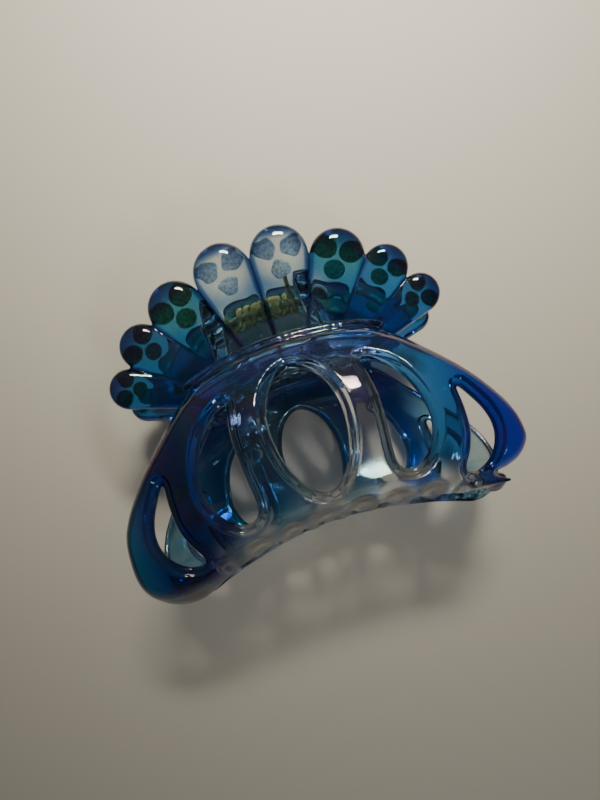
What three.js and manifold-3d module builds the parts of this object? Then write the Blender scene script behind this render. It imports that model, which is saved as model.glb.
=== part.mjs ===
// A hair claw clip lying on its back jaw: two identical curved jaws with petal handles, a hinge pin,
// a coil spring, and three foil dots behind the bulb of every petal. Millimetres, +Z up.
//
// The shapes are drawn in the clip's own frame: x along the hinge, y from the teeth up to the handles,
// z out through the front jaw, with the origin on the hinge axis. The clip is then tipped about x so that
// the back jaw's belly and the back handle's tips both touch the ground.
import * as THREE from "three";
import { mergeVertices } from "three/addons/utils/BufferGeometryUtils.js";
import Module from "manifold-3d";

const wasm = await Module();
wasm.setup();

// Jaw wall
const WALL = 3;
const BELLY_RISE = 19.5;
const BELLY_BASE = 4;
const BELLY_Y = -31.5;
const BELLY_SAG = 12;
const HALF_SPAN = 46;
const SPREAD_X = 50;
const SPREAD_TOP = 23.5;
const SPREAD_BOTTOM = 25;
const EDGE_SHARE = 0.93;
const SLAB = { left: -43, right: 43, low: -58.5, high: -11, columns: 20, rows: 12 };
const CUT_LOW = -5;
const CUT_HIGH = 30;

// Upper edge of the jaw and the roof wall behind it, which carries the handle and the knuckles
const TOP_Y = -12.4;
const TOP_SAG = 0.0095;
const ROOF_HALF = 20;
const ROOF_THICK = 3;
const ROOF_STEPS = 14;
const ROOF_COVER = 0.3;
const RIDGE_HEIGHT = 1.2;

// Handle
const HANDLE_Z = 11;
const HANDLE_SLOPE = 0.35;
const PETALS = [
  { x: 6.3, y: 5.6, root: 3.1, radius: 6.3 },
  { x: 18.1, y: 1.7, root: 9, radius: 6 },
  { x: 27.4, y: -3.4, root: 13.8, radius: 5 },
  { x: 33, y: -10.6, root: 17.4, radius: 4.4 },
];
const ROOT_RADIUS = 3.3;
const PETAL_BACK = 1;
const DOME_SHARE = 0.5;
const DOME_SIDES = 6;
const SHOULDER = 0.6;
const STEM_SHARES = [0, 0.35, 0.7, 0.88];
const STEM_SWELL = 1.5;
const BULB_TURNS = [0, 0.45, 0.9, 1.3];
const WEB_TOP = 0.4;
const WEB_TOP_Y = 4.2;
const WEB_SIDE = [[33, -9], [24.5, -1.5], [12.3, 3.2]];
const WEB_ROOT = [20, -16];

// Foil dots
const DOT_SHARE = 0.36;
const DOT_THICK = 0.3;
const DOT_SIDES = 8;
const DOTS_PER_PETAL = 3;
const DOT_RING_SHARE = 0.45;
const GAP = 0.3;

// Hinge
const PIN_RADIUS = 1;
const PIN_HALF = 14.5;
const HEAD_RADIUS = 1.7;
const HEAD_THICK = 1;
const KNUCKLE_RADIUS = 2.7;
const KNUCKLE_WIDTH = 2.6;
const KNUCKLES = [9, -12.3];
const ARM = [[-2.2, -1.4], [-13.6, 5.2], [-13.6, 8.2], [-9, 8.6], [1.5, 10.8], [2.3, 1.2]];
const PIN_SIDES = 12;
const BARREL_SIDES = 16;

// Spring
const WIRE_RADIUS = 0.45;
const COIL_RADIUS = 2.1;
const COIL_TURNS = 10.5;
const COIL_HALF = 6.4;
const COIL_STEPS = 12;
const WIRE_SEGMENTS = 3;
const LEG_STEPS = 4;
const LEG = [[2.2, 3.4], [4.2, 6.8], [5.6, 10.2]];

// Teeth
const TEETH = 10;
const PITCH = 7;
const EDGE_Y = -50.6;
const EDGE_SAG = 0.0045;
const TOOTH_WIDE = 1.6;
const TOOTH_TIP = 0.9;
const TOOTH_RING = 6;
const TOOTH_SHIFT = 0.25;
// Each row gives y from the jaw's edge, then the share of the root's height and the lift that make z.
const TOOTH_PATH = [[1.6, 1, 0], [-0.4, 1, -4.5], [-0.6, 0.45, 0], [0.6, 0, 0], [2, 0, -2.6]];

// Rest pose on the ground
const TIP_DEGREES = 7.3;

const JAW_SIDE = [
  [15, -14.5], [22, -18.5], [28, -25], [34.3, -32.4], [39.2, -40.3], [40.8, -47],
  [39, -52], [35, -55], [30, -56.6], [21.5, -53.5], [13, -51.5],
];
const CENTRE_TOP = [0, -21];
const CENTRE_BOTTOM = [0, -45.2];
const WINDOW_CENTRE = [
  [4, -23], [6.4, -28], [6.9, -34], [5.6, -40], [3, -44.2],
];
const WINDOW_MIDDLE = [
  [13.7, -24], [16.4, -25], [19.1, -27.5], [21.4, -32], [22.4, -37], [22, -40.3],
  [20.7, -43], [18.9, -45.2], [16, -46.3], [14.5, -45.7], [13.7, -43.6], [14.2, -37.5],
  [14.4, -31], [13.7, -25.7],
];
const WINDOW_END = [
  [29.6, -34.7], [31.6, -37], [33.1, -39.6], [33.8, -44.8], [32.7, -47.3], [31, -49],
  [28.9, -50.2], [26.9, -50.3], [26.8, -49], [28, -46.8], [29.2, -43.5], [29.7, -39.8],
];

// Height of the jaw's outer surface above the hinge plane.
function bellyZ(x, y) {
  const centre = BELLY_Y - BELLY_SAG * (x / HALF_SPAN) ** 2;
  const spread = y > centre ? SPREAD_TOP + BELLY_BASE * (x / HALF_SPAN) ** 2 : SPREAD_BOTTOM;
  const q = (x / SPREAD_X) ** 2 + ((y - centre) / spread) ** 2;
  const edge = Math.sqrt(1 - EDGE_SHARE);
  const g = q < EDGE_SHARE ? Math.sqrt(1 - q) : edge - (q - EDGE_SHARE) / (2 * edge);
  return BELLY_BASE + BELLY_RISE * g;
}

// Height of the middle of the handle's sheet.
function handleZ(y) {
  return HANDLE_Z + HANDLE_SLOPE * y;
}

// A point of the wall's inner surface, WALL below the outer one along its normal.
function innerPoint(x, y) {
  const step = 0.1;
  const slopeX = (bellyZ(x + step, y) - bellyZ(x - step, y)) / (2 * step);
  const slopeY = (bellyZ(x, y + step) - bellyZ(x, y - step)) / (2 * step);
  const normal = new THREE.Vector3(-slopeX, -slopeY, 1).normalize();
  return new THREE.Vector3(x, y, bellyZ(x, y)).addScaledVector(normal, -WALL);
}

// A closed body from triangles that index a list of points.
function bodyFrom(points, triangles) {
  const geometry = new THREE.BufferGeometry().setFromPoints(points);
  geometry.setIndex(triangles);
  return geometry;
}

// A closed body through a row of rings, each with the same number of points.
function loft(rings) {
  const n = rings[0].length;
  const points = rings.flat();
  const triangles = [];
  for (let i = 0; i + 1 < rings.length; i++) {
    for (let j = 0; j < n; j++) {
      const a = i * n + j;
      const b = i * n + ((j + 1) % n);
      triangles.push(a, b, b + n, a, b + n, a + n);
    }
  }
  const last = (rings.length - 1) * n;
  for (let j = 1; j + 1 < n; j++) {
    triangles.push(0, j + 1, j);
    triangles.push(last, last + j, last + j + 1);
  }
  return bodyFrom(points, triangles);
}

// The geometry as a manifold solid, turned the right way out.
function solid(geometry) {
  const bare = geometry.clone();
  bare.deleteAttribute("normal");
  bare.deleteAttribute("uv");
  const merged = mergeVertices(bare, 1e-4);
  const mesh = (triVerts) =>
    new wasm.Manifold(
      new wasm.Mesh({ numProp: 3, vertProperties: merged.attributes.position.array, triVerts }),
    );
  const made = mesh(new Uint32Array(merged.index.array));
  return made.volume() > 0 ? made : mesh(new Uint32Array(merged.index.array).reverse());
}

// The manifold solid as geometry with flat faces.
function geometryOf(made) {
  const m = made.getMesh();
  const positions = new Float32Array(m.numVert * 3);
  for (let i = 0; i < m.numVert; i++) {
    positions.set(m.vertProperties.subarray(i * m.numProp, i * m.numProp + 3), i * 3);
  }
  const geometry = new THREE.BufferGeometry();
  geometry.setAttribute("position", new THREE.BufferAttribute(positions, 3));
  geometry.setIndex(new THREE.BufferAttribute(m.triVerts, 1));
  return geometry.toNonIndexed();
}

// A prism with the outline in x and y, from z = low to z = high.
function prism(outline, low, high) {
  const shape = new THREE.Shape(outline.map(([x, y]) => new THREE.Vector2(x, y)));
  const geometry = new THREE.ExtrudeGeometry(shape, { depth: high - low, bevelEnabled: false });
  return geometry.translate(0, 0, low);
}

// A plate with the outline in y and z, centred on x and of the given width.
function plate(outline, x, width) {
  const shape = new THREE.Shape(outline.map(([y, z]) => new THREE.Vector2(y, z)));
  const geometry = new THREE.ExtrudeGeometry(shape, { depth: width, bevelEnabled: false });
  const basis = new THREE.Matrix4().makeBasis(
    new THREE.Vector3(0, 1, 0),
    new THREE.Vector3(0, 0, 1),
    new THREE.Vector3(1, 0, 0),
  );
  return geometry.applyMatrix4(basis).translate(x - width / 2, 0, 0);
}

// A round bar along x.
function bar(radius, x, width, sides) {
  return new THREE.CylinderGeometry(radius, radius, width, sides).rotateZ(Math.PI / 2).translate(x, 0, 0);
}

const mirrored = (outline) => outline.map(([x, y]) => [-x, y]).reverse();

// The curved wall of the jaw, before its outline and windows are cut.
function wallSlab() {
  const { left, right, low, high, columns, rows } = SLAB;
  const points = [];
  for (let i = 0; i <= columns; i++) {
    for (let j = 0; j <= rows; j++) {
      const x = left + ((right - left) * i) / columns;
      const y = low + ((high - low) * j) / rows;
      points.push(new THREE.Vector3(x, y, bellyZ(x, y)), innerPoint(x, y));
    }
  }
  const at = (i, j, inner) => 2 * (i * (rows + 1) + j) + inner;
  const triangles = [];
  const quad = (a, b, c, d) => triangles.push(a, b, c, a, c, d);
  for (let i = 0; i < columns; i++) {
    for (let j = 0; j < rows; j++) {
      quad(at(i, j, 0), at(i + 1, j, 0), at(i + 1, j + 1, 0), at(i, j + 1, 0));
      quad(at(i, j, 1), at(i, j + 1, 1), at(i + 1, j + 1, 1), at(i + 1, j, 1));
    }
    quad(at(i, 0, 1), at(i + 1, 0, 1), at(i + 1, 0, 0), at(i, 0, 0));
    quad(at(i, rows, 0), at(i + 1, rows, 0), at(i + 1, rows, 1), at(i, rows, 1));
  }
  for (let j = 0; j < rows; j++) {
    quad(at(0, j, 0), at(0, j + 1, 0), at(0, j + 1, 1), at(0, j, 1));
    quad(at(columns, j, 1), at(columns, j + 1, 1), at(columns, j + 1, 0), at(columns, j, 0));
  }
  return solid(bodyFrom(points, triangles));
}

// The roof wall that follows the jaw's upper edge, from the handle's sheet out to the ridge.
function roof() {
  const rings = [];
  for (let i = 0; i <= ROOF_STEPS; i++) {
    const x = -ROOF_HALF + (2 * ROOF_HALF * i) / ROOF_STEPS;
    const y = TOP_Y - TOP_SAG * x * x;
    const low = handleZ(y) - PETAL_BACK;
    const high = bellyZ(x, y - ROOF_THICK / 2) + RIDGE_HEIGHT;
    rings.push([
      new THREE.Vector3(x, y - ROOF_THICK, low),
      new THREE.Vector3(x, y, low),
      new THREE.Vector3(x, y, high - RIDGE_HEIGHT),
      new THREE.Vector3(x, y - ROOF_THICK / 3, high),
      new THREE.Vector3(x, y - ROOF_THICK, high),
    ]);
  }
  return solid(loft(rings));
}

// The frame of a petal: its root and bulb centre on the handle's sheet, and the directions along and across.
function petalFrame(petal, side) {
  const rootY = TOP_Y - 1 - TOP_SAG * petal.root ** 2;
  const root = new THREE.Vector3(side * petal.root, rootY, handleZ(rootY));
  const bulb = new THREE.Vector3(side * petal.x, petal.y, handleZ(petal.y));
  const along = bulb.clone().sub(root).normalize();
  const up = new THREE.Vector3(0, -HANDLE_SLOPE, 1).normalize();
  const across = up.clone().cross(along).normalize();
  return { root, bulb, along, up, across };
}

// One petal: a flat-backed dome that swells from its root to a round bulb.
function petalBody(petal, side) {
  const { root, bulb, along, up, across } = petalFrame(petal, side);
  const length = root.distanceTo(bulb);
  const stations = [];
  for (const share of STEM_SHARES) {
    stations.push([share * length, ROOT_RADIUS + (petal.radius - ROOT_RADIUS) * share ** STEM_SWELL]);
  }
  for (const turn of BULB_TURNS) {
    stations.push([length + petal.radius * Math.sin(turn), petal.radius * Math.cos(turn)]);
  }
  const rings = stations.map(([distance, radius]) => {
    const ring = [];
    for (let j = 0; j <= DOME_SIDES; j++) {
      const angle = (Math.PI * j) / DOME_SIDES;
      const height = Math.max(radius * DOME_SHARE * Math.sin(angle), 0.01);
      ring.push(
        root.clone()
          .addScaledVector(along, distance)
          .addScaledVector(across, radius * Math.cos(angle))
          .addScaledVector(up, PETAL_BACK * SHOULDER + height),
      );
    }
    for (const edge of [-1, 1]) {
      ring.push(
        root.clone()
          .addScaledVector(along, distance)
          .addScaledVector(across, radius * edge)
          .addScaledVector(up, -PETAL_BACK),
      );
    }
    return ring;
  });
  return solid(loft(rings));
}

// The thin web that joins the petals, along the handle's sheet.
function web() {
  const upper = [...WEB_SIDE.slice().reverse(), WEB_ROOT];
  const outline = [[0, WEB_TOP_Y], ...upper, ...mirrored(upper)];
  const ring = (lift) => outline.map(([x, y]) => new THREE.Vector3(x, y, handleZ(y) + lift));
  return solid(loft([ring(-PETAL_BACK), ring(WEB_TOP)]));
}

// The three foil dots behind a petal's bulb.
function petalDots(petal, side) {
  const { bulb, along, up, across } = petalFrame(petal, side);
  const turned = new THREE.Quaternion().setFromUnitVectors(new THREE.Vector3(0, 1, 0), up);
  return Array.from({ length: DOTS_PER_PETAL }, (_, k) => {
    const angle = Math.PI + (k * 2 * Math.PI) / DOTS_PER_PETAL;
    const centre = bulb.clone()
      .addScaledVector(along, petal.radius * DOT_RING_SHARE * Math.cos(angle))
      .addScaledVector(across, petal.radius * DOT_RING_SHARE * Math.sin(angle))
      .addScaledVector(up, -PETAL_BACK - GAP - DOT_THICK / 2);
    const radius = petal.radius * DOT_SHARE;
    const dot = new THREE.CylinderGeometry(radius, radius, DOT_THICK, DOT_SIDES);
    return dot.applyQuaternion(turned).translate(centre.x, centre.y, centre.z);
  });
}

// One curved tooth that hangs from the jaw's lower edge and reaches past the middle plane.
function tooth(x) {
  const edge = EDGE_Y - EDGE_SAG * x * x;
  const root = bellyZ(x, edge) - WALL / 2;
  const path = TOOTH_PATH.map(([inward, share, lift]) => [edge + inward, root * share + lift]);
  const rings = path.map(([y, z], i) => {
    const share = i / (path.length - 1);
    const half = TOOTH_WIDE + (TOOTH_TIP - TOOTH_WIDE) * share;
    const ring = [];
    for (let j = 0; j < TOOTH_RING; j++) {
      const angle = (2 * Math.PI * j) / TOOTH_RING;
      ring.push(new THREE.Vector3(x + half * Math.cos(angle), y - half * Math.sin(angle), z));
    }
    return ring;
  });
  return solid(loft(rings));
}

// The arm from the roof to the knuckle, with the knuckle's barrel.
function knuckle(x) {
  const arm = plate(ARM, x, KNUCKLE_WIDTH);
  return solid(arm).add(solid(bar(KNUCKLE_RADIUS, x, KNUCKLE_WIDTH, BARREL_SIDES)));
}

// One whole jaw with its handle.
function jaw() {
  const windowCentre = [CENTRE_TOP, ...WINDOW_CENTRE, CENTRE_BOTTOM, ...mirrored(WINDOW_CENTRE)];
  const outline = [[0, TOP_Y - ROOF_COVER], ...JAW_SIDE, [0, EDGE_Y], ...mirrored(JAW_SIDE)];
  let body = wallSlab().intersect(solid(prism(outline, CUT_LOW, CUT_HIGH)));
  for (const window of [
    windowCentre,
    WINDOW_MIDDLE,
    mirrored(WINDOW_MIDDLE),
    WINDOW_END,
    mirrored(WINDOW_END),
  ]) {
    body = body.subtract(solid(prism(window, CUT_LOW, CUT_HIGH)));
  }
  body = body.add(roof());
  for (let i = 0; i < TEETH; i++) {
    body = body.add(tooth(PITCH * (i - (TEETH - 1) / 2 + TOOTH_SHIFT)));
  }
  for (const petal of PETALS) {
    body = body.add(petalBody(petal, 1)).add(petalBody(petal, -1));
  }
  body = body.add(web());
  for (const x of KNUCKLES) {
    body = body.add(knuckle(x));
  }
  return body.subtract(solid(bar(PIN_RADIUS + GAP, 0, 4 * PIN_HALF, BARREL_SIDES)));
}

// The spring's wire: a coil about the hinge axis, with a leg that bears on each handle's back.
function spring() {
  const points = [];
  const steps = COIL_TURNS * COIL_STEPS;
  const leg = (side) => LEG.map(([y, z]) => new THREE.Vector3(side * COIL_HALF, y, side * z));
  points.push(...leg(-1).reverse());
  for (let i = 0; i <= steps; i++) {
    const angle = Math.PI + (2 * Math.PI * COIL_TURNS * i) / steps;
    const x = -COIL_HALF + (2 * COIL_HALF * i) / steps;
    points.push(new THREE.Vector3(x, COIL_RADIUS * Math.sin(angle), COIL_RADIUS * Math.cos(angle)));
  }
  points.push(...leg(1));
  const wire = new THREE.Shape();
  wire.absarc(0, 0, WIRE_RADIUS, 0, 2 * Math.PI, false);
  const curve = new THREE.CatmullRomCurve3(points, false, "centripetal");
  return new THREE.ExtrudeGeometry(wire, {
    steps: steps + LEG_STEPS * LEG.length,
    curveSegments: WIRE_SEGMENTS,
    bevelEnabled: false,
    extrudePath: curve,
  });
}

// The hinge pin, with a low head at each end.
function pin() {
  const profile = [
    [0, -PIN_HALF - HEAD_THICK], [HEAD_RADIUS, -PIN_HALF - HEAD_THICK * 0.6], [HEAD_RADIUS, -PIN_HALF],
    [PIN_RADIUS, -PIN_HALF], [PIN_RADIUS, PIN_HALF], [HEAD_RADIUS, PIN_HALF],
    [HEAD_RADIUS, PIN_HALF + HEAD_THICK * 0.6], [0, PIN_HALF + HEAD_THICK],
  ].map(([r, y]) => new THREE.Vector2(r, y));
  return new THREE.LatheGeometry(profile, PIN_SIDES).rotateZ(Math.PI / 2);
}

const blue = { color: 0x1f5fb4, roughness: 0.12, metalness: 0 };
const steel = { color: 0xb4b8bc, roughness: 0.35, metalness: 1 };
const brass = { color: 0xb79a4a, roughness: 0.3, metalness: 1 };
const foil = { color: 0x1f8f6a, roughness: 0.2, metalness: 1 };

const clip = new THREE.Group();

// Adds one piece; the back jaw's pieces are the front jaw's, turned half round about y.
function add(name, made, finish, back) {
  const mesh = new THREE.Mesh(geometryOf(made), new THREE.MeshStandardMaterial(finish));
  mesh.name = name;
  mesh.geometry.computeVertexNormals();
  if (back) {
    mesh.rotation.y = Math.PI;
  }
  clip.add(mesh);
}

const oneJaw = jaw();
for (const back of [false, true]) {
  const end = back ? "back" : "front";
  add(end + "_jaw", oneJaw, blue, back);
  PETALS.forEach((petal, i) => {
    for (const side of [-1, 1]) {
      const hand = side < 0 ? "left" : "right";
      petalDots(petal, side).forEach((dot, k) => {
        add(`${end}_dot_${hand}${i + 1}_${k + 1}`, solid(dot), foil, back);
      });
    }
  });
}
add("hinge_pin", solid(pin()), steel, false);
add("torsion_spring", solid(spring()), brass, false);

// Tip the clip into its rest pose and stand it on the ground, centred.
const tipped = new THREE.Group();
clip.rotation.x = THREE.MathUtils.degToRad(-TIP_DEGREES);
tipped.add(clip);
tipped.updateMatrixWorld(true);
const box = new THREE.Box3().setFromObject(tipped, true);
const centre = box.getCenter(new THREE.Vector3());
clip.position.set(-centre.x, -centre.y, -box.min.z);

export default tipped;
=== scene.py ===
"""A clear blue hair claw clip lying on its back jaw, with petal handles, a coil spring and foil dots."""

import math

import bpy
import numpy as np
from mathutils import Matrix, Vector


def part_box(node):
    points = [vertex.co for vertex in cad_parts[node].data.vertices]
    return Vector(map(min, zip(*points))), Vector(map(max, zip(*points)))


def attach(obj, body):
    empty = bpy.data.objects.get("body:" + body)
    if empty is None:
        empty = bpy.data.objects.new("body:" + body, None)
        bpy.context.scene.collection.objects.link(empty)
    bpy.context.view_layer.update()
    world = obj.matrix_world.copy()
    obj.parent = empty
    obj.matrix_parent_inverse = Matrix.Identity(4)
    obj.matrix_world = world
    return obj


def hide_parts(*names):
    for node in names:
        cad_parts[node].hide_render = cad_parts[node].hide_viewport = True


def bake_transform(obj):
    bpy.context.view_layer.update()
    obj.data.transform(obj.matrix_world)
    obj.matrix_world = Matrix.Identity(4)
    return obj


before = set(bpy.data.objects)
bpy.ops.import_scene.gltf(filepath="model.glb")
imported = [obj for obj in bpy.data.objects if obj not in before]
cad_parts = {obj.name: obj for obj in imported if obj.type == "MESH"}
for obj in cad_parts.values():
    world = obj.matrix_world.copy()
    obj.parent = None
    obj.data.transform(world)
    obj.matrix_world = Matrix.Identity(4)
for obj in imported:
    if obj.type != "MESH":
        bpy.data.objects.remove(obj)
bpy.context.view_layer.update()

import openvdb
from mathutils import Euler, Matrix, Vector

MM = 0.001
GRID = 0.34
FAR = 9.0

# Shapes are drawn in the clip's own frame, in millimetres: x along the hinge, y from the teeth up to the
# handles, z out through the front jaw, with the origin on the hinge axis.
TIP = math.radians(-7.3)
pin_low, pin_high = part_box("hinge_pin")
HINGE = (pin_low + pin_high) / 2
CLIP = Matrix.Translation(HINGE) @ Matrix.Rotation(TIP, 4, "X") @ Matrix.Scale(MM, 4)
JAW_FRAMES = {"front": CLIP, "back": CLIP @ Matrix.Rotation(math.pi, 4, "Y")}

# Belly: the jaw's outer surface, a dome over the hinge plane that runs on as a straight slope at its edge.
BELLY_BASE = 4.0
BELLY_RISE = 19.5
BELLY_LENGTH = 50.0
BELLY_ABOVE = 23.5
BELLY_ABOVE_GAIN = 4.0
BELLY_BELOW = 25.0
BELLY_CENTRE = -31.5
BELLY_DROP = 12.0
BELLY_REACH = 46.0
BELLY_STEEPEST = 0.93

# Jaw wall
WALL = 3.0
RIM_WIDTH = 2.1
RIM_SLOPE = 0.9
RIM_DEPTH = 0.85
EDGE_ROUND = 3.4
WINDOW_ROUND = 1.6
INNER_ROUND = 1.0
TOP_Y = -12.4
TOP_SAG = 0.0095

# Half outlines of a jaw, from the middle of its top round a lobe to the middle of its lower edge.
JAW_SIDE = [
    (0, -12.5), (8, -13), (15, -14.5), (22, -18.5), (28, -25), (34.3, -32.4), (39.2, -40.3), (40.7, -47),
    (39, -52), (35, -55.2), (30, -56.4), (26, -55), (21.5, -53.5), (13, -51.5), (6, -50.6), (0, -50.3),
]
# The front jaw's lobes differ: its right one ends in a small point, and its left one reaches further down.
POINTED_SIDE = [
    (0, -12.5), (8, -13), (15, -14.5), (22, -18.5), (28, -25), (34.3, -32.4), (39.2, -40.3), (40.7, -46),
    (40.1, -48.6), (38, -50.7), (35, -51.8), (32.3, -52.2), (34.2, -54.3), (31, -54.6), (27, -54),
    (21.5, -53), (13, -51.3), (6, -50.6), (0, -50.3),
]
LONG_SIDE = [
    (0, -12.5), (8, -13), (15, -14.5), (22, -18.5), (28, -25), (34.5, -32.2), (39.6, -39.7), (40.9, -46),
    (40.7, -51.9), (37.8, -56), (33, -57.2), (27.5, -55.8), (21.5, -53.5), (13, -51.5), (6, -50.6),
    (0, -50.3),
]
# The point itself: where it starts and where it ends.
POINT = [(27.0, -52.3), (34.6, -54.3)]
POINT_RADII = (1.5, 0.35)
POINT_SUNK = 0.4

WINDOW_CENTRE = [(0, -21), (4.2, -23.4), (6.6, -28.5), (6.9, -34), (5.6, -40), (3, -44), (0, -45.4)]
WINDOW_MIDDLE = [
    (13.7, -24), (16.4, -25), (19.1, -27.5), (21.3, -31.8), (22.4, -37), (22, -40.6), (20.4, -43.8),
    (18.2, -45.8), (16, -46.3), (14.3, -45.4), (13.7, -43), (14.1, -38), (14.5, -32), (14.1, -27),
]
WINDOW_END = [
    (29.7, -34.4), (31.6, -37), (33.2, -40.2), (33.9, -43.6), (33.2, -46.8), (31.2, -49.3),
    (28.9, -50.4), (26.9, -50.3), (26.8, -49), (28.2, -46.4), (29.3, -43), (29.6, -38.5),
]
EJECTOR_MARKS = [(-11.3, -34.8), (13.3, -33.2), (27.9, -47.5)]
EJECTOR_RADIUS = 1.5
EJECTOR_DEPTH = 0.35

# Roof wall behind the jaw's upper edge, and the ridge that stands on it
ROOF_THICK = 2.8
ROOF_HALF = 20.0
ROOF_SUNK = 0.8
RIDGE_RADIUS = 1.15
RIDGE_HALF = 22.0
RIDGE_Y = -13.9
RIDGE_SAG = 0.0062
RIDGE_SUNK = 0.15
RIDGE_POINTS = 31

# Handle
HANDLE_Z = 11.0
HANDLE_SLOPE = 0.35
PETALS = [  # bulb x, bulb y, root x, bulb radius
    (6.3, 5.6, 3.1, 6.3),
    (18.1, 1.7, 9.0, 6.0),
    (27.4, -3.4, 13.8, 5.0),
    (33.0, -10.6, 17.4, 4.4),
]
ROOT_RADIUS = 3.3
PETAL_BACK = 1.0
PETAL_SQUARENESS = 2.5
DOME = 0.52
WEB = [
    (-33, -9), (-24.5, -1.5), (-12.3, 3.2), (0, 4.2), (12.3, 3.2), (24.5, -1.5), (33, -9),
    (20, -16), (-20, -16),
]
WEB_RISE = 0.4

# Hinge knuckles: middles along the hinge, and the side view of the arm that carries each one
KNUCKLES = (9.0, -12.3)
KNUCKLE_RADIUS = 2.7
KNUCKLE_WIDTH = 2.6
KNUCKLE_ARM = [(-2.2, -1.4), (-13.6, 5.2), (-13.6, 8.2), (-9, 8.6), (1.5, 10.8), (2.3, 1.2)]
BORE_RADIUS = 1.2
BORE_HALF = 20

# Teeth
TEETH = 10
PITCH = 7.0
TOOTH_SHIFT = 0.25
TOOTH_FLAT = 0.62
TOOTH_EDGE = -49.7
EDGE_SAG = 0.0045
TOOTH_RADIUS = 1.15
TOOTH_TAPER = 0.45
TOOTH_PATH = [  # y above the jaw's edge, share of the wall's height there, z added to that
    (1.3, 1, -2.2), (0.5, 1, -5), (0.1, 0.45, 0), (1, 0, 0), (2.2, 0, -2.4),
]
TOOTH_ROOT_PIECES = 3


def linear(r, g, b):
    """A colour given as display values from 0 to 255, in linear light with full alpha."""
    def one(c):
        c /= 255
        return c / 12.92 if c <= 0.04045 else ((c + 0.055) / 1.055) ** 2.4
    return (one(r), one(g), one(b), 1.0)


def smooth_mesh(name, points, faces):
    """A new mesh with smooth shading."""
    mesh = bpy.data.meshes.new(name)
    mesh.from_pydata([tuple(p) for p in points], [], faces)
    mesh.polygons.foreach_set("use_smooth", [True] * len(mesh.polygons))
    mesh.update()
    return mesh


# ---------------------------------------------------------------- distance fields


def ease(x, start, end):
    """From 0 at start to 1 at end, with a gentle slope at both."""
    t = np.clip((x - start) / (end - start), 0, 1)
    return t * t * (3 - 2 * t)


def smooth_min(a, b, blend):
    """The smaller of two distances, rounded over where they differ by less than blend."""
    h = np.clip(blend - np.abs(a - b), 0, None) / blend
    return np.minimum(a, b) - h * h * blend / 4


def smooth_max(a, b, blend):
    return -smooth_min(-a, -b, blend)


class Field:
    """Signed distances on a grid, negative inside the solid."""

    def __init__(self, low, high, step):
        self.step = step
        self.low = np.array(low, np.float32)
        self.axes = [np.arange(a, b, step, dtype=np.float32) for a, b in zip(low, high)]
        self.d = np.full([len(a) for a in self.axes], FAR, np.float32)

    def part(self, low, high):
        """The slices and the coordinates of the grid points between two corners."""
        cuts = []
        for axis, a, b in zip(self.axes, low, high):
            cuts.append(slice(int(np.searchsorted(axis, a)), int(np.searchsorted(axis, b))))
        x, y, z = (axis[c] for axis, c in zip(self.axes, cuts))
        return tuple(cuts), x[:, None, None], y[None, :, None], z[None, None, :]

    def join(self, low, high, distance, blend):
        """Add a shape that lies, with its blend, between the corners low and high."""
        cuts, x, y, z = self.part(low, high)
        self.d[cuts] = smooth_min(self.d[cuts], distance(x, y, z), blend)

    def cut(self, low, high, distance, blend):
        """Take away a shape that lies between the corners low and high."""
        cuts, x, y, z = self.part(low, high)
        self.d[cuts] = smooth_max(self.d[cuts], -distance(x, y, z), blend)

    def mesh(self, name):
        band = 3 * self.step
        grid = openvdb.FloatGrid(background=band)
        grid.copyFromArray(np.clip(self.d, -band, band))
        points, triangles, quads = grid.convertToPolygons(isovalue=0.0)
        points = points * self.step + self.low
        faces = quads.tolist() + triangles.tolist()
        return smooth_mesh(name, points.tolist(), faces)


def spline(points, closed=True, per=8):
    """A smooth curve through the points, as an array."""
    p = np.array(points, float)
    n = len(p)
    out = []
    for i in range(n if closed else n - 1):
        if closed:
            a, b, c, d = p[i - 1], p[i], p[(i + 1) % n], p[(i + 2) % n]
        else:
            a, b, c, d = p[max(i - 1, 0)], p[i], p[i + 1], p[min(i + 2, n - 1)]
        for t in np.arange(per) / per:
            square = (2 * a - 5 * b + 4 * c - d) * t**2
            cube = (3 * b - a - 3 * c + d) * t**3
            out.append(0.5 * (2 * b + (c - a) * t + square + cube))
    if not closed:
        out.append(p[-1])
    return np.array(out)


def outline_distance(outline, x, y):
    """Signed distance in the plane to a closed outline, for broadcast arrays x and y."""
    px, py = np.broadcast_arrays(x, y)
    best = np.full(px.shape, 1e9, np.float32)
    inside = np.zeros(px.shape, bool)
    for (ax, ay), (bx, by) in zip(outline, np.roll(outline, -1, axis=0)):
        ex, ey = bx - ax, by - ay
        wx, wy = px - ax, py - ay
        t = np.clip((wx * ex + wy * ey) / (ex * ex + ey * ey + 1e-12), 0, 1)
        best = np.minimum(best, (wx - ex * t) ** 2 + (wy - ey * t) ** 2)
        if abs(ey) > 1e-9:
            crosses = ((ay > py) != (by > py)) & (wx < ex * wy / ey)
            inside ^= crosses
    return np.where(inside, -1, 1) * np.sqrt(best)


def segment_distance(x, y, z, a, b, ra, rb):
    """Signed distance to a bar with round ends whose radius runs from ra to rb."""
    a, b = np.array(a, np.float32), np.array(b, np.float32)
    e = b - a
    t = np.clip(((x - a[0]) * e[0] + (y - a[1]) * e[1] + (z - a[2]) * e[2]) / float(e @ e), 0, 1)
    gone = (x - a[0] - e[0] * t) ** 2 + (y - a[1] - e[1] * t) ** 2 + (z - a[2] - e[2] * t) ** 2
    return np.sqrt(gone) - (ra + (rb - ra) * t)


# ---------------------------------------------------------------- the jaw


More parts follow.
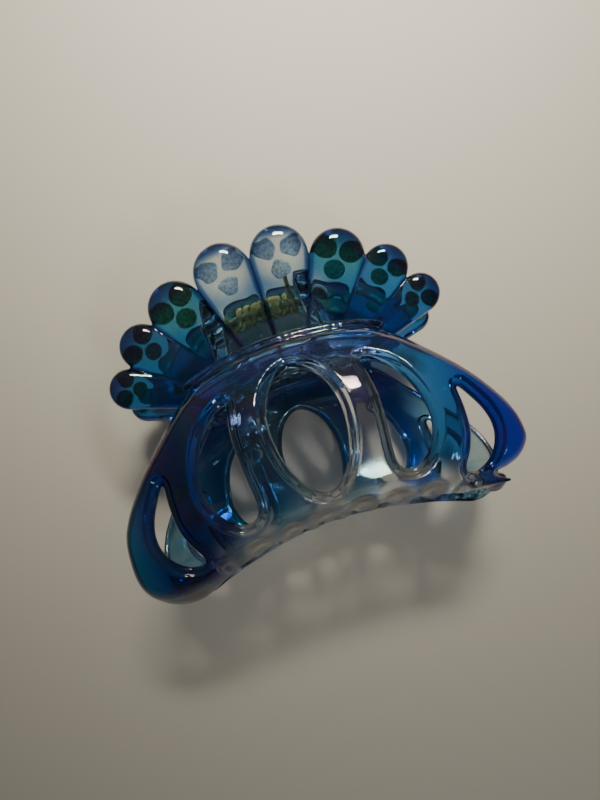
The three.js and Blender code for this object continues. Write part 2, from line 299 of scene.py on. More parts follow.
def belly_height(x, y):
    """Height of the jaw's outer surface above the hinge plane."""
    bow = (x / BELLY_REACH) ** 2
    centre = BELLY_CENTRE - BELLY_DROP * bow
    breadth = np.where(y > centre, BELLY_ABOVE + BELLY_ABOVE_GAIN * bow, BELLY_BELOW)
    q = (x / BELLY_LENGTH) ** 2 + ((y - centre) / breadth) ** 2
    rest = math.sqrt(1 - BELLY_STEEPEST)
    dome = np.sqrt(np.clip(1 - q, 1e-6, None))
    slope = rest - (q - BELLY_STEEPEST) / (2 * rest)
    return BELLY_BASE + BELLY_RISE * np.where(q < BELLY_STEEPEST, dome, slope)


def handle_height(y):
    return HANDLE_Z + HANDLE_SLOPE * y


def mirrored(points):
    return [(-x, y) for x, y in reversed(points)]


def whole(points):
    """Both halves of an outline whose first and last points lie on the middle line."""
    return points + mirrored(points)[1:-1]


def petal_axes(petal, side):
    """A petal's root and bulb centre, its three directions and its bulb's radius."""
    bulb_x, bulb_y, root_x, radius = petal
    root_y = TOP_Y - 1 - TOP_SAG * root_x**2
    root = Vector((side * root_x, root_y, handle_height(root_y)))
    bulb = Vector((side * bulb_x, bulb_y, handle_height(bulb_y)))
    along = (bulb - root).normalized()
    up = Vector((0, -HANDLE_SLOPE, 1)).normalized()
    return root, bulb, along, up, up.cross(along).normalized(), radius


def petal_distance(petal, side):
    """The distance to a petal: a tapered bar, squarish across, that ends in a flattened bulb."""
    root, bulb, along, up, across, radius = petal_axes(petal, side)
    length = (bulb - root).length
    slant = (ROOT_RADIUS - radius) / length
    lean = math.sqrt(1 - slant * slant)

    def size(*parts):
        return sum(np.abs(p) ** PETAL_SQUARENESS for p in parts) ** (1 / PETAL_SQUARENESS)

    def distance(x, y, z):
        wx, wy, wz = x - root.x, y - root.y, z - root.z
        ahead = wx * along.x + wy * along.y + wz * along.z
        aside = wx * across.x + wy * across.y + wz * across.z
        above = wx * up.x + wy * up.y + wz * up.z
        tall = above / DOME
        away = size(aside, tall)
        station = -slant * away + lean * ahead
        past = np.sqrt((ahead - length) ** 2 + aside * aside)
        bar = away * lean + ahead * slant - ROOT_RADIUS
        d = np.where(
            station < 0,
            np.sqrt(away * away + ahead * ahead) - ROOT_RADIUS,
            np.where(station > lean * length, size(past, tall) - radius, bar),
        )
        slopes = np.gradient(d, GRID)
        d = d / np.clip(np.sqrt(sum(g * g for g in slopes)), 0.5, None)
        return smooth_max(d, -(above + PETAL_BACK), blend=0.5)

    return distance


def window_outlines():
    middle, end = spline(WINDOW_MIDDLE), spline(WINDOW_END)
    flip = np.array([-1, 1])
    return [spline(whole(WINDOW_CENTRE)), middle, middle * flip, end, end * flip]


def jaw_shell(field, sides):
    """The curved wall with its windows, the step round each window and the ejector marks inside."""
    x, y, z = field.axes[0][:, None], field.axes[1][None, :], field.axes[2]
    height = belly_height(x, y).astype(np.float32)
    sx, sy = np.gradient(height, GRID)
    lean = np.sqrt(1 + sx**2 + sy**2)
    outer = (z[None, None, :] - height[:, :, None]) / lean[:, :, None]
    outline = outline_distance(spline(sides), x, y).astype(np.float32)[:, :, None]
    openings = np.full(height.shape, FAR, np.float32)
    for window in window_outlines():
        openings = np.minimum(openings, outline_distance(window, x, y))
    step_in = RIM_DEPTH * (1 - ease(openings, RIM_WIDTH - RIM_SLOPE, RIM_WIDTH))
    shell = smooth_max(outer + step_in[:, :, None], outline, EDGE_ROUND)
    shell = smooth_max(shell, -openings[:, :, None], WINDOW_ROUND)
    field.d = smooth_max(shell, -(outer + WALL), INNER_ROUND)
    for mark_x, mark_y in EJECTOR_MARKS:
        round_mark = (np.hypot(x - mark_x, y - mark_y) - EJECTOR_RADIUS)[:, :, None]
        field.d = smooth_max(field.d, -np.maximum(round_mark, outer + WALL - EJECTOR_DEPTH), blend=0.2)


def add_point(field):
    """The small point on the front jaw's right lobe."""
    ends = [(a, b, float(belly_height(a, b)) - POINT_SUNK) for a, b in POINT]
    low, high = np.min(ends, axis=0) - 3, np.max(ends, axis=0) + 3
    field.join(low, high, lambda x, y, z: segment_distance(x, y, z, *ends, *POINT_RADII), blend=0.8)


def add_roof(field):
    """The roof wall behind the upper edge."""
    def roof(x, y, z):
        top = TOP_Y - TOP_SAG * x * x
        across = np.abs(y - (top - ROOF_THICK / 2)) - ROOF_THICK / 2
        lift = np.maximum(z - belly_height(x, y) + ROOF_SUNK, handle_height(top) - PETAL_BACK - z)
        return smooth_max(smooth_max(across, lift, blend=1.2), np.abs(x) - ROOF_HALF, blend=4)

    field.join((-ROOF_HALF - 1, -20, 0), (ROOF_HALF + 1, -9, 22), roof, blend=2.0)


def add_ridge(field):
    """The ridge along the upper edge, thinning out at both ends."""
    xs = np.linspace(-RIDGE_HALF, RIDGE_HALF, RIDGE_POINTS)
    ys = RIDGE_Y - RIDGE_SAG * xs**2
    ridge = [(a, b, float(belly_height(a, b)) - RIDGE_SUNK) for a, b in zip(xs, ys)]
    for a, b in zip(ridge, ridge[1:]):
        low, high = np.minimum(a, b) - 3, np.maximum(a, b) + 3
        ra, rb = (RIDGE_RADIUS * math.sqrt(max(1 - (p[0] / RIDGE_HALF) ** 4, 0)) for p in (a, b))
        field.join(low, high, lambda x, y, z: segment_distance(x, y, z, a, b, ra, rb), blend=0.5)


def add_handle(field):
    """Eight petals that meet in sharp grooves, on the thin web that joins them."""
    def web_plate(x, y, z):
        flat = outline_distance(np.array(WEB), x[:, :, 0], y[:, :, 0])[:, :, None]
        h = z - handle_height(y)
        return smooth_max(flat, np.maximum(h - WEB_RISE, -(h + PETAL_BACK)), blend=0.5)

    field.join((-35, -17, 3), (35, 6, 15), web_plate, blend=0.6)
    for petal in PETALS:
        for side in (-1, 1):
            root, bulb, _, _, _, radius = petal_axes(petal, side)
            low = np.minimum(root, bulb) - radius - 1.5
            high = np.maximum(root, bulb) + radius + 1.5
            field.join(low, high, petal_distance(petal, side), blend=0.35)


def add_knuckles(field):
    """The knuckles on their arms, and the bore for the pin."""
    for middle in KNUCKLES:
        def knuckle(x, y, z):
            flat = outline_distance(np.array(KNUCKLE_ARM), y[0], z[0])[None]
            barrel = np.sqrt(y * y + z * z) - KNUCKLE_RADIUS
            sides = np.abs(x - middle) - KNUCKLE_WIDTH / 2
            return smooth_max(smooth_min(flat, barrel, blend=1.0), sides, blend=0.6)

        field.join((middle - 4, -16, -5), (middle + 4, 5, 13), knuckle, blend=0.8)

    def bore(x, y, z):
        return np.sqrt(y * y + z * z) - BORE_RADIUS + 0 * x

    field.cut((-BORE_HALF, -3, -3), (BORE_HALF, 3, 3), bore, blend=0.3)


def add_teeth(field):
    """Flat teeth that curve in from the lower edge and cross the middle plane."""
    for i in range(TEETH):
        tx = PITCH * (i - (TEETH - 1) / 2 + TOOTH_SHIFT)
        edge = TOOTH_EDGE - EDGE_SAG * tx * tx
        top = float(belly_height(tx, edge)) - WALL / 2
        path = [(edge + above, top * share + added) for above, share, added in TOOTH_PATH]
        line = spline(path, closed=False, per=3)
        for j in range(len(line) - 1):
            ends = [(tx, line[n][0], line[n][1]) for n in (j, j + 1)]
            ra, rb = (TOOTH_RADIUS - TOOTH_TAPER * n / (len(line) - 1) for n in (j, j + 1))

            def tooth(x, y, z):
                wide = tx + (x - tx) * TOOTH_FLAT
                return segment_distance(wide, y, z, *ends, ra, rb)

            low = np.min(ends, axis=0) - 4
            high = np.max(ends, axis=0) + 4
            field.join(low, high, tooth, blend=1.2 if j < TOOTH_ROOT_PIECES else 0.4)


def jaw_mesh(name, sides, pointed):
    field = Field((-43.5, -60.5, -6), (43.5, 13.5, 26.5), GRID)
    jaw_shell(field, sides)
    if pointed:
        add_point(field)
    add_roof(field)
    add_ridge(field)
    add_handle(field)
    add_knuckles(field)
    add_teeth(field)
    return field.mesh(name)


# Dye along the jaw's length: x in millimetres and the colour a full pass through the wall leaves.
FRONT_DYE = [
    (-40, (24, 108, 152)), (-34, (10, 48, 140)), (-25, (8, 36, 140)), (-17, (26, 98, 178)),
    (-9, (140, 198, 220)), (7, (242, 247, 248)), (13, (228, 240, 246)), (20, (70, 145, 205)),
    (28, (34, 108, 195)), (34, (8, 50, 195)), (40, (6, 40, 195)),
]
BACK_DYE = [
    (-40, (205, 228, 232)), (-30, (120, 180, 220)), (-24, (48, 120, 228)), (-16, (44, 112, 224)),
    (-8, (110, 175, 215)), (6, (165, 208, 225)), (14, (75, 165, 212)), (24, (45, 130, 200)),
    (32, (120, 190, 222)), (40, (150, 208, 228)),
]
TOP_DYE = (16, 82, 184)
CLEAR = (250, 250, 247)
PETAL_DYE = (52, 126, 196)
BULB_DYES = [(208, 224, 230), (70, 150, 182), (56, 128, 184), (48, 116, 180)]
ROOT_DYE = (186, 214, 214)
# Painted shade: the dark tone painted towards the bulb tips and along the grooves between petals.
PAINTED_TIP_SHADE = (12, 36, 98)
# Where the painted shade at each petal's tip begins.
TIP_STARTS = [0.45, 0.1, 0.0, 0.0]  # for each petal, in bulb radii past the bulb's centre
TOP_SHARE = 0.8
ROOT_SHARE = 0.85
# Painted shade: how much darker the plastic is painted along the window rims and the jaw's outer edges.
RIM_PAINTED_SHADE = 0.45
EDGE_PAINTED_SHADE = 0.6
CLOUD_X = 10.5
CLOUD_SHARE = 0.45

# Where each change of dye, painted shade or frosting starts and is complete, in millimetres, apart from
# BULB_BAND, TIP_END and GROOVE_BAND, which are in a petal's own radii.
TOP_BAND = (-27, -17)
RIM_BAND = (-1.5, -0.4)
EDGE_BAND = (-1.3, -0.2)
STRIP_BAND = (43.5, 49)
STRIP_RIGHT = (23, 29)
STRIP_LEFT = (18, 26)
PETAL_BAND = (-13.2, -11.8)
BULB_BAND = (0.4, 1.25)
ROOT_BAND = (-1.5, 3.5)
ROOT_SIDES = (9, 16)
TIP_END = 0.95
GROOVE_BAND = (0.78, 0.94)
HAZE_BAND = (46, 49.5)
HAZE_SIDES = (21, 28)
CLOUD_SIDES = (2, 5)
CLOUD_START = (28, 38)
CLOUD_END = (43, 47)


def rgb(display):
    """A dye's display values in linear light, without alpha."""
    return np.array(linear(*display)[:3])


def ramp(stops, x):
    xs = [stop[0] for stop in stops]
    colours = np.array([rgb(stop[1]) for stop in stops])
    return np.stack([np.interp(x, xs, colours[:, i]) for i in range(3)], axis=-1)


def mixed(a, b, share):
    return a + (b - a) * share[:, None]


def layered(a, b, share):
    """Two dyes one behind the other, each taking its share of the depth."""
    return a ** (1 - share[:, None]) * b ** share[:, None]


def body_dye_and_painted_shade(points, sides, along):
    """The jaw below the handle: bluer at the top, with painted shade along its window rims and outer edges,
    clear in the strip above the teeth.
    """
    x, y, _ = points.T
    colour = ramp(along, x)
    colour = mixed(colour, rgb(TOP_DYE), TOP_SHARE * ease(y, *TOP_BAND))
    rim = np.min([outline_distance(outline, x, y) for outline in window_outlines()], axis=0)
    # Painted shade along each window's rim.
    colour = colour * (1 - RIM_PAINTED_SHADE * ease(-rim, *RIM_BAND))[:, None]
    edge = outline_distance(spline(sides), x, y)
    # Painted shade along the jaw's outer edge.
    colour = colour * (1 - EDGE_PAINTED_SHADE * ease(edge, *EDGE_BAND))[:, None]
    inside = (1 - ease(x, *STRIP_RIGHT)) * (1 - ease(-x, *STRIP_LEFT))
    return mixed(colour, rgb(CLEAR), ease(-y - EDGE_SAG * x * x, *STRIP_BAND) * inside)


def petal_dye_and_painted_shade(points, painted_shade_share):
    """The handle: a dye for each bulb, paler at the middle roots, with painted shade at the tips and in the
    grooves.
    """
    x, y, _ = points.T
    # In radii: the distance to the nearest bulb's centre, to the nearest petal's axis, and past that bulb.
    bulb = np.full(len(x), 99.0)
    groove = np.full(len(x), 99.0)
    tipward = np.full(len(x), -1.0)
    tip_start = np.zeros(len(x))
    bulb_colour = np.zeros((len(x), 3))
    for petal, bulb_dye, start in zip(PETALS, BULB_DYES, TIP_STARTS):
        for side in (-1, 1):
            root, tip, along, _, across, radius = petal_axes(petal, side)
            length = (tip - root).length
            offset = points - np.array(root)
            ahead = offset @ np.array(along)
            aside = offset @ np.array(across)
            wide = ROOT_RADIUS + (radius - ROOT_RADIUS) * np.clip(ahead / length, 0, 1)
            groove = np.minimum(groove, np.hypot(aside, np.clip(ahead - length, 0, None)) / wide)
            away = np.hypot(ahead - length, aside) / radius
            nearest = away < bulb
            bulb = np.where(nearest, away, bulb)
            tipward = np.where(nearest, (ahead - length) / radius, tipward)
            tip_start[nearest] = start
            bulb_colour[nearest] = rgb(bulb_dye)
    colour = mixed(bulb_colour, rgb(PETAL_DYE), ease(bulb, *BULB_BAND))
    rootward = ease(-y, *ROOT_BAND) * (1 - ease(np.abs(x), *ROOT_SIDES))
    colour = mixed(colour, rgb(ROOT_DYE), ROOT_SHARE * rootward)
    # Painted shade towards each bulb's tip.
    colour = layered(colour, rgb(PAINTED_TIP_SHADE), painted_shade_share * ease(tipward, tip_start, TIP_END))
    # Painted shade along the grooves between petals.
    return layered(colour, rgb(PAINTED_TIP_SHADE), painted_shade_share * ease(groove, *GROOVE_BAND))


def dye_and_painted_light(points, sides, along, painted_shade_share):
    """The plastic's colour at points of a jaw in its own frame: its dye, with painted shade at the window
    rims, outer edges, petal tips and grooves.

    painted_shade_share is how much of the painted shade the petal tips and grooves take."""
    x, y, _ = points.T
    in_petals = ease(y + TOP_SAG * x * x, *PETAL_BAND)
    return mixed(body_dye_and_painted_shade(points, sides, along), petal_dye_and_painted_shade(points, painted_shade_share), in_petals)


def haze(points):
    """How frosted the plastic is: the thin strip above the teeth, and a cloudy patch in the clear rib."""
    x, y, _ = points.T
    strip = ease(-y - EDGE_SAG * x * x, *HAZE_BAND) * (1 - ease(np.abs(x), *HAZE_SIDES))
    cloud = ease(-y, *CLOUD_START) * (1 - ease(-y, *CLOUD_END))
    cloud *= 1 - ease(np.abs(x - CLOUD_X), *CLOUD_SIDES)
    return np.maximum(strip, CLOUD_SHARE * cloud)


def mark(mesh, name, values):
    """Store one number a vertex on the mesh, for a material to read."""
    attribute = mesh.attributes.new(name, "FLOAT", "POINT")
    attribute.data.foreach_set("value", np.asarray(values, np.float32))


def paint(mesh, colours):
    """Store the colour at each vertex: its dye, with any painted shade, highlight or reflection."""
    attribute = mesh.color_attributes.new("dye_and_painted_light", "FLOAT_COLOR", "POINT")
    full = np.ones((len(mesh.vertices), 4), np.float32)
    full[:, :3] = np.clip(colours, 0.0, 1.0)
    attribute.data.foreach_set("color", full.ravel())


def vertices_of(mesh):
    co = np.empty(len(mesh.vertices) * 3, np.float32)
    mesh.vertices.foreach_get("co", co)
    return co.reshape(-1, 3)


def place(mesh, name, body, replaced, slot):
    """Put a mesh, already in the row frame, on a body in place of CAD nodes."""
    piece = bpy.data.objects.new(name, mesh)
    bpy.context.scene.collection.objects.link(piece)
    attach(piece, body)
    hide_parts(*replaced)
    return piece


jaws = {}
for end, sides, along, painted_shade_share in (
    ("front", POINTED_SIDE + mirrored(LONG_SIDE)[1:-1], FRONT_DYE, 0.85),
    ("back", whole(JAW_SIDE), BACK_DYE, 0.3),
):
    mesh = jaw_mesh(end + "_jaw_clear", sides, pointed=end == "front")
    paint(mesh, dye_and_painted_light(vertices_of(mesh), sides, along, painted_shade_share))
    mark(mesh, "haze", haze(vertices_of(mesh)))
    mesh.transform(JAW_FRAMES[end])
    jaws[end] = place(mesh, end + "_jaw_clear", end + "_half", [end + "_jaw"], "clear_blue_plastic")

# ---------------------------------------------------------------- foil dots, spring and pin

DOTS = 3  # behind each bulb
DOT_SHARE = 0.36
DOT_RING_SHARE = 0.45
DOT_THICK = 0.3
DOT_GAP = 0.3
DOT_SIDES = 28
DOT_TILT = 0.02
DOT_RINGS = [  # share of the dot's radius, height
    (0.02, -0.02), (0.6, -0.01), (0.94, 0.0), (1.0, -0.06), (0.98, -DOT_THICK), (0.02, -DOT_THICK),
]
ROUND_WOBBLE = 0.02
RAGGED_WOBBLE = 0.13

# Foil tones: of the two middle petals' flakes, painted silver-white as a painted reflection; of one dot to
# their right, painted as a bright green highlight; and of the other dots.
FRONT_FOIL = [(250, 252, 250), (150, 255, 180), (115, 255, 135)]
# The back handle's dots all take one dark tone: painted shade for the handle that lies underneath.
SHADED_BACK_FOIL = [(28, 90, 84)] * 3


def foil_tone(tones, petal, dot):
    """The tone of one dot, where petal counts outwards from 1 and is negative on the left."""
    painted_reflection, painted_highlight, other = tones
    # Painted reflection on the middle petals' flakes, painted highlight on one dot.
    if abs(petal) == 1:
        return rgb(painted_reflection)
    return rgb(painted_highlight if petal == 2 and dot == 0 else other)


def ring_faces(rings, sides, first=0, inward=False):
    """The faces of a closed form made of rings of points: its sides, then its first and its last ring."""
    faces = []
    for r in range(rings - 1):
        for i in range(sides):
            a, b = first + r * sides + i, first + r * sides + (i + 1) % sides
            faces.append((a, a + sides, b + sides, b) if inward else (a, b, b + sides, a + sides))
    start = [first + i for i in range(sides)]
    end = [first + (rings - 1) * sides + i for i in range(sides)]
    faces += [start, end[::-1]] if inward else [start[::-1], end]
    return faces


def dots_mesh(name, tones):
    """Every foil dot of one handle, each slightly domed and a little off its neighbours' plane."""
    points, faces, colours = [], [], []
    rng = np.random.default_rng(7)
    for number, petal in enumerate(PETALS):
        wobble = RAGGED_WOBBLE if number == 0 else ROUND_WOBBLE
        for side in (-1, 1):
            _, bulb, along, up, across, radius = petal_axes(petal, side)
            for dot in range(DOTS):
                angle = math.pi + dot * 2 * math.pi / DOTS
                middle = bulb + (along * math.cos(angle) + across * math.sin(angle)) * radius * DOT_RING_SHARE
                middle = middle - up * (PETAL_BACK + DOT_GAP)
                tilt = Vector(rng.uniform(-DOT_TILT, DOT_TILT, 3))
                phase = rng.uniform(0, 2 * math.pi)
                faces += ring_faces(len(DOT_RINGS), DOT_SIDES, first=len(points), inward=True)
                for share, lift in DOT_RINGS:
                    for i in range(DOT_SIDES):
                        turn = 2 * math.pi * i / DOT_SIDES
                        waves = 1 + math.sin(3 * turn + phase) * 0.6 + math.sin(5 * turn - phase) * 0.4
                        reach = radius * DOT_SHARE * (1 - wobble * waves) * share
                        arm = (along * math.cos(turn) + across * math.sin(turn)) * reach
                        points.append(middle + arm + up * (lift + arm.dot(tilt)))
                        colours.append(foil_tone(tones, side * (number + 1), dot))
    mesh = smooth_mesh(name, points, faces)
    paint(mesh, np.array(colours))
    return mesh


dots = {}
for end, tones in (("front", FRONT_FOIL), ("back", SHADED_BACK_FOIL)):
    mesh = dots_mesh(end + "_dots", tones)
    mesh.transform(JAW_FRAMES[end])
    names = [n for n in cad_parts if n.startswith(end + "_dot_")]
    dots[end] = place(mesh, end + "_foil_dots", end + "_half", names, "foil")


WIRE_RADIUS = 0.45
WIRE_END_REACH = 0.5
WIRE_END_SHARE = 0.6
COIL_RADIUS = 2.1
COIL_TURNS = 10.5
COIL_HALF = 6.4
TURN_STEPS = 24
LEG = [(2.2, 3.4), (4.2, 6.8), (5.6, 10.2)]  # y and z of a leg's points, up to under the handle


def swept_tube(name, path, radius, sides=12):
    """A closed tube of round wire along a path, whose ends narrow over a short reach."""
    path = [Vector(p) for p in path]
    before, after = path[:1] + path[:-1], path[1:] + path[-1:]
    tangents = [(b - a).normalized() for a, b in zip(before, after)]
    normal = tangents[0].orthogonal().normalized()
    rings = []
    for middle, tangent in zip(path, tangents):
        normal = (normal - tangent * normal.dot(tangent)).normalized()
        rings.append((middle, normal, tangent.cross(normal), radius))
    first, last = rings[0], rings[-1]
    reach, narrow = WIRE_END_REACH * radius, WIRE_END_SHARE * radius
    rings.insert(0, (first[0] - tangents[0] * reach, first[1], first[2], narrow))
    rings.append((last[0] + tangents[-1] * reach, last[1], last[2], narrow))
    points = []
    for middle, normal, binormal, size in rings:
        for i in range(sides):
            turn = 2 * math.pi * i / sides
            points.append(middle + (normal * math.cos(turn) + binormal * math.sin(turn)) * size)
    return smooth_mesh(name, points, ring_faces(len(rings), sides))


def spring_path():
    """From the tip of the back half's leg, round the coil, to the tip of the front half's leg."""
    path = [(-COIL_HALF, y, -z) for y, z in reversed(LEG)]
    steps = COIL_TURNS * TURN_STEPS
    for i in range(int(steps) + 1):
        turn = math.pi + 2 * math.pi * i / TURN_STEPS
        along = COIL_HALF * (2 * i / steps - 1)
        path.append((along, COIL_RADIUS * math.sin(turn), COIL_RADIUS * math.cos(turn)))
    return path + [(COIL_HALF, y, z) for y, z in LEG]


mesh = swept_tube("spring", spline(spring_path(), closed=False, per=2), WIRE_RADIUS)
mesh.transform(CLIP)
spring = bpy.data.objects.new("coil_spring", mesh)
bpy.context.scene.collection.objects.link(spring)
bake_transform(spring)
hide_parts("torsion_spring")

PIN_HALF = 14.5
PIN_RADIUS = 1.0
PIN_SIDES = 24
HEAD_RADIUS = 1.7
HEAD_PROFILE = [  # distance past the shank's end, radius
    (1.0, 0.02), (0.95, 0.7), (0.7, 1.3), (0.4, HEAD_RADIUS - 0.08), (0.25, HEAD_RADIUS),
    (0.08, HEAD_RADIUS - 0.06), (0, PIN_RADIUS + 0.1), (-0.2, PIN_RADIUS),
]


def pin_mesh():
    """A rod turned about the hinge axis, with a low domed head at both ends."""
    profile = [(-PIN_HALF - past, radius) for past, radius in HEAD_PROFILE]
    profile += [(-x, radius) for x, radius in reversed(profile)]
    points = []
    for x, radius in profile:
        for i in range(PIN_SIDES):
            turn = 2 * math.pi * i / PIN_SIDES
            points.append((x, radius * math.cos(turn), radius * math.sin(turn)))
    return smooth_mesh("pin", points, ring_faces(len(profile), PIN_SIDES))


mesh = pin_mesh()
mesh.transform(CLIP)
pin = place(mesh, "steel_pin", "back_half", ["hinge_pin"], "steel")

# ---------------------------------------------------------------- materials


def new_material(name):
    """A node material, with its tree and its shader."""
    material = bpy.data.materials.new(name)
    material.use_nodes = True
    tree = material.node_tree
    return material, tree, tree.nodes["Principled BSDF"]


def node(tree, kind, settings=(), **inputs):
    """A node with its settings and its unlinked inputs."""
    made = tree.nodes.new(kind)
    for key, value in settings:
        setattr(made, key, value)
    for key, value in inputs.items():
        made.inputs[key.replace("_", " ")].default_value = value
    return made


def noise(tree, scale, detail=3.0, stretch=(1, 1, 1)):
    """A noise texture in object space; scale is per metre."""
    coordinates = tree.nodes.new("ShaderNodeTexCoord")
    mapping = tree.nodes.new("ShaderNodeMapping")
    mapping.inputs["Scale"].default_value = stretch
    made = node(tree, "ShaderNodeTexNoise", Scale=scale, Detail=detail)
    tree.links.new(coordinates.outputs["Object"], mapping.inputs["Vector"])
    tree.links.new(mapping.outputs["Vector"], made.inputs["Vector"])
    return made.outputs["Fac"]


def spread(tree, value, low, high, start=0.3, end=0.7):
    """The value between start and end, spread from low to high."""
    made = node(tree, "ShaderNodeMapRange")
    for key, number in (("From Min", start), ("From Max", end), ("To Min", low), ("To Max", high)):
        made.inputs[key].default_value = number
    tree.links.new(value, made.inputs["Value"])
    return made.outputs["Result"]


def times(tree, colour, factor):
    """The colour scaled by the factor."""
    made = node(tree, "ShaderNodeVectorMath", settings=[("operation", "SCALE")])
    tree.links.new(colour, made.inputs[0])
    tree.links.new(factor, made.inputs["Scale"])
    return made.outputs["Vector"]


def bump(tree, shader, height, strength, distance):
    """Fine relief; distance is in metres."""
    made = node(tree, "ShaderNodeBump", Strength=strength, Distance=distance)
    tree.links.new(height, made.inputs["Height"])
    tree.links.new(made.outputs["Normal"], shader.inputs["Normal"])


def clear_plastic():
    """Tinted clear plastic whose dye, painted shade and frosting come from the mesh, with painted shade where
    the surface is seen edge-on and a faint film of colour on it.
    """
    material, tree, shader = new_material("clear_blue_plastic")
    shader.inputs["Transmission Weight"].default_value = 1
    shader.inputs["IOR"].default_value = 1.5
    shader.inputs["Thin Film IOR"].default_value = 1.58
    tree.links.new(spread(tree, noise(tree, 45, 2.0), 300, 620), shader.inputs["Thin Film Thickness"])

    attribute = node(tree, "ShaderNodeAttribute", settings=[("attribute_name", "dye_and_painted_light")])
    streaks = spread(tree, noise(tree, 90, 2.0, (1, 0.35, 1)), 0.82, 1.08)
    # Painted shade: the colour darkens where the surface is seen edge-on.
    facing = node(tree, "ShaderNodeLayerWeight", Blend=0.35).outputs["Facing"]
    base_with_painted_shade = times(tree, attribute.outputs["Color"], streaks)
    base_with_painted_shade = times(tree, base_with_painted_shade, spread(tree, facing, 1.0, 0.4, 0.25, 0.95))
    tree.links.new(base_with_painted_shade, shader.inputs["Base Color"])

    frosted = node(tree, "ShaderNodeAttribute", settings=[("attribute_name", "haze")])
    rough = node(tree, "ShaderNodeMath", settings=[("operation", "MULTIPLY_ADD")])
    rough.inputs[1].default_value = 0.3
    tree.links.new(frosted.outputs["Fac"], rough.inputs[0])
    tree.links.new(spread(tree, noise(tree, 400, 4.0), 0.01, 0.045), rough.inputs[2])
    tree.links.new(rough.outputs["Value"], shader.inputs["Roughness"])
    bump(tree, shader, noise(tree, 160, 1.0), 0.25, 0.0004)
    return material


def crinkled_foil():
    """Thin foil whose colour comes from the mesh, with a fine crinkle in its tone, gloss and relief."""
    material, tree, shader = new_material("foil")
    shader.inputs["Metallic"].default_value = 0.3
    attribute = node(tree, "ShaderNodeAttribute", settings=[("attribute_name", "dye_and_painted_light")])
    crinkle = noise(tree, 1800, 4.0)
    tone = times(tree, attribute.outputs["Color"], spread(tree, crinkle, 0.5, 1.4))
    tree.links.new(tone, shader.inputs["Base Color"])
    tree.links.new(spread(tree, crinkle, 0.3, 0.55), shader.inputs["Roughness"])
    bump(tree, shader, crinkle, 0.5, 0.0002)
    return material


def drawn_metal(name, metallic, tones, grain, stretch, roughness, strength):
    """Wire or rod whose fine grain varies its tone and roughness."""
    material, tree, shader = new_material(name)
    shader.inputs["Metallic"].default_value = metallic
    drawn = noise(tree, grain, 3.0, stretch)
    tint = node(tree, "ShaderNodeValToRGB")
    for element, tone in zip(tint.color_ramp.elements, tones):
        element.color = linear(*tone)
    tree.links.new(drawn, tint.inputs["Fac"])
    tree.links.new(tint.outputs["Color"], shader.inputs["Base Color"])
    tree.links.new(spread(tree, drawn, *roughness), shader.inputs["Roughness"])
    bump(tree, shader, drawn, strength, 0.0001)
    return material


plastic = clear_plastic()
for jaw in jaws.values():
    jaw.data.materials.append(plastic)
foil = crinkled_foil()
for piece in dots.values():
    piece.data.materials.append(foil)
spring.data.materials.append(drawn_metal(
    "spring_wire", metallic=0.7, tones=[(226, 206, 112), (255, 244, 176)], grain=900, stretch=(1, 1, 1),
    roughness=(0.18, 0.38), strength=0.2,
))
pin.data.materials.append(drawn_metal(
    "steel", metallic=1, tones=[(150, 152, 156), (214, 215, 218)], grain=1200, stretch=(0.08, 1, 1),
    roughness=(0.22, 0.42), strength=0.25,
))

# ---------------------------------------------------------------- floor, lights and camera

FLOOR_HALF = 1.2
FLOOR_COLOUR = (194, 185, 167)

# The photograph's viewpoint: a place from the hinge axis in millimetres, and turns in degrees.
CAMERA_PLACE = (-3.71, -36.115, 136.723)
CAMERA_TURNS = (5.97, -0.05, -18.73)
LENS = 27.06
SENSOR = 36

# The studio's brightness grows with y, in this range of directions and between these strengths.
STUDIO_REACH = (-0.8, 0.9)
STUDIO_STRENGTH = (0.07, 0.26)

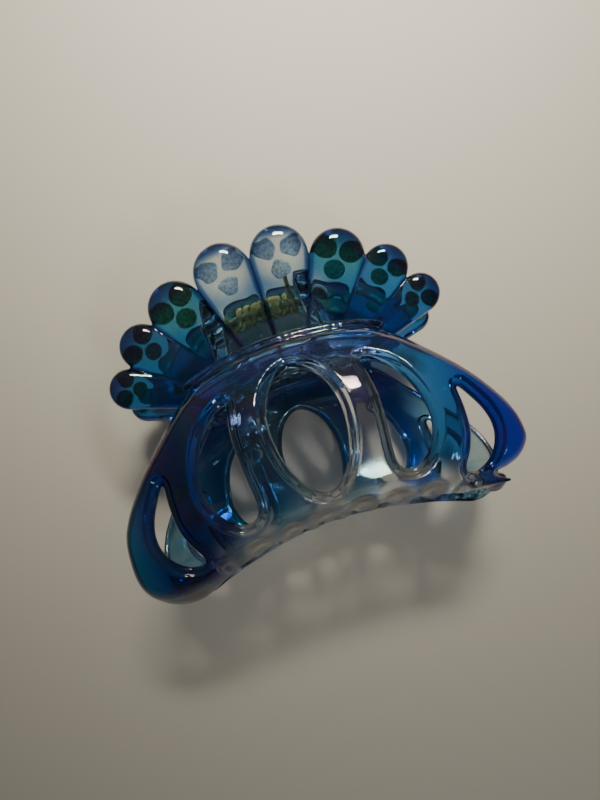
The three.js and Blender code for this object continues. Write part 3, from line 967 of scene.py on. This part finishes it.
corners = [(x * FLOOR_HALF, y * FLOOR_HALF, 0) for x, y in ((-1, -1), (1, -1), (1, 1), (-1, 1))]
floor_mesh = bpy.data.meshes.new("table_top")
floor_mesh.from_pydata(corners, [], [(0, 1, 2, 3)])
floor = bpy.data.objects.new("table_top", floor_mesh)
bpy.context.scene.collection.objects.link(floor)
paper, tree, shader = new_material("table_top")
shader.inputs["Base Color"].default_value = linear(*FLOOR_COLOUR)
shader.inputs["Roughness"].default_value = 0.7
floor_mesh.materials.append(paper)

camera_data = bpy.data.cameras.new("camera")
camera_data.lens = LENS
camera_data.sensor_width = SENSOR
camera_data.clip_start = 0.005
camera = bpy.data.objects.new("camera", camera_data)
camera.location = HINGE + Vector(CAMERA_PLACE) * MM
camera.rotation_euler = Euler([math.radians(turn) for turn in CAMERA_TURNS])
bpy.context.scene.collection.objects.link(camera)
bpy.context.scene.camera = camera


def soft_box(name, place, aim, size, watts, colour, beam):
    """A rectangular light at a place, turned to its aim, with beam as its full spread in degrees."""
    light = bpy.data.lights.new(name, "AREA")
    light.shape = "RECTANGLE"
    light.size, light.size_y = size
    light.energy = watts
    light.color = colour
    light.spread = math.radians(beam)
    lamp = bpy.data.objects.new(name, light)
    lamp.location = place
    lamp.rotation_euler = (Vector(aim) - Vector(place)).to_track_quat("-Z", "Y").to_euler()
    bpy.context.scene.collection.objects.link(lamp)


soft_box(
    "key", place=(0.13, 0.34, 0.45), aim=(0.06, 0.15, 0), size=(0.16, 0.12),
    watts=0.5, colour=(1, 0.97, 0.88), beam=44,
)
soft_box(
    "low_fill", place=(0.12, -0.4, 0.5), aim=(0, 0, 0), size=(0.06, 0.12),
    watts=0.09, colour=(0.95, 0.97, 1), beam=60,
)

world = bpy.data.worlds.new("studio")
world.use_nodes = True
tree = world.node_tree
coordinates = tree.nodes.new("ShaderNodeTexCoord")
parts = tree.nodes.new("ShaderNodeSeparateXYZ")
tree.links.new(coordinates.outputs["Generated"], parts.inputs["Vector"])
strength = spread(tree, parts.outputs["Y"], *STUDIO_STRENGTH, *STUDIO_REACH)
tree.links.new(strength, tree.nodes["Background"].inputs["Strength"])
tree.nodes["Background"].inputs["Color"].default_value = (0.9, 0.92, 0.95, 1)
bpy.context.scene.world = world
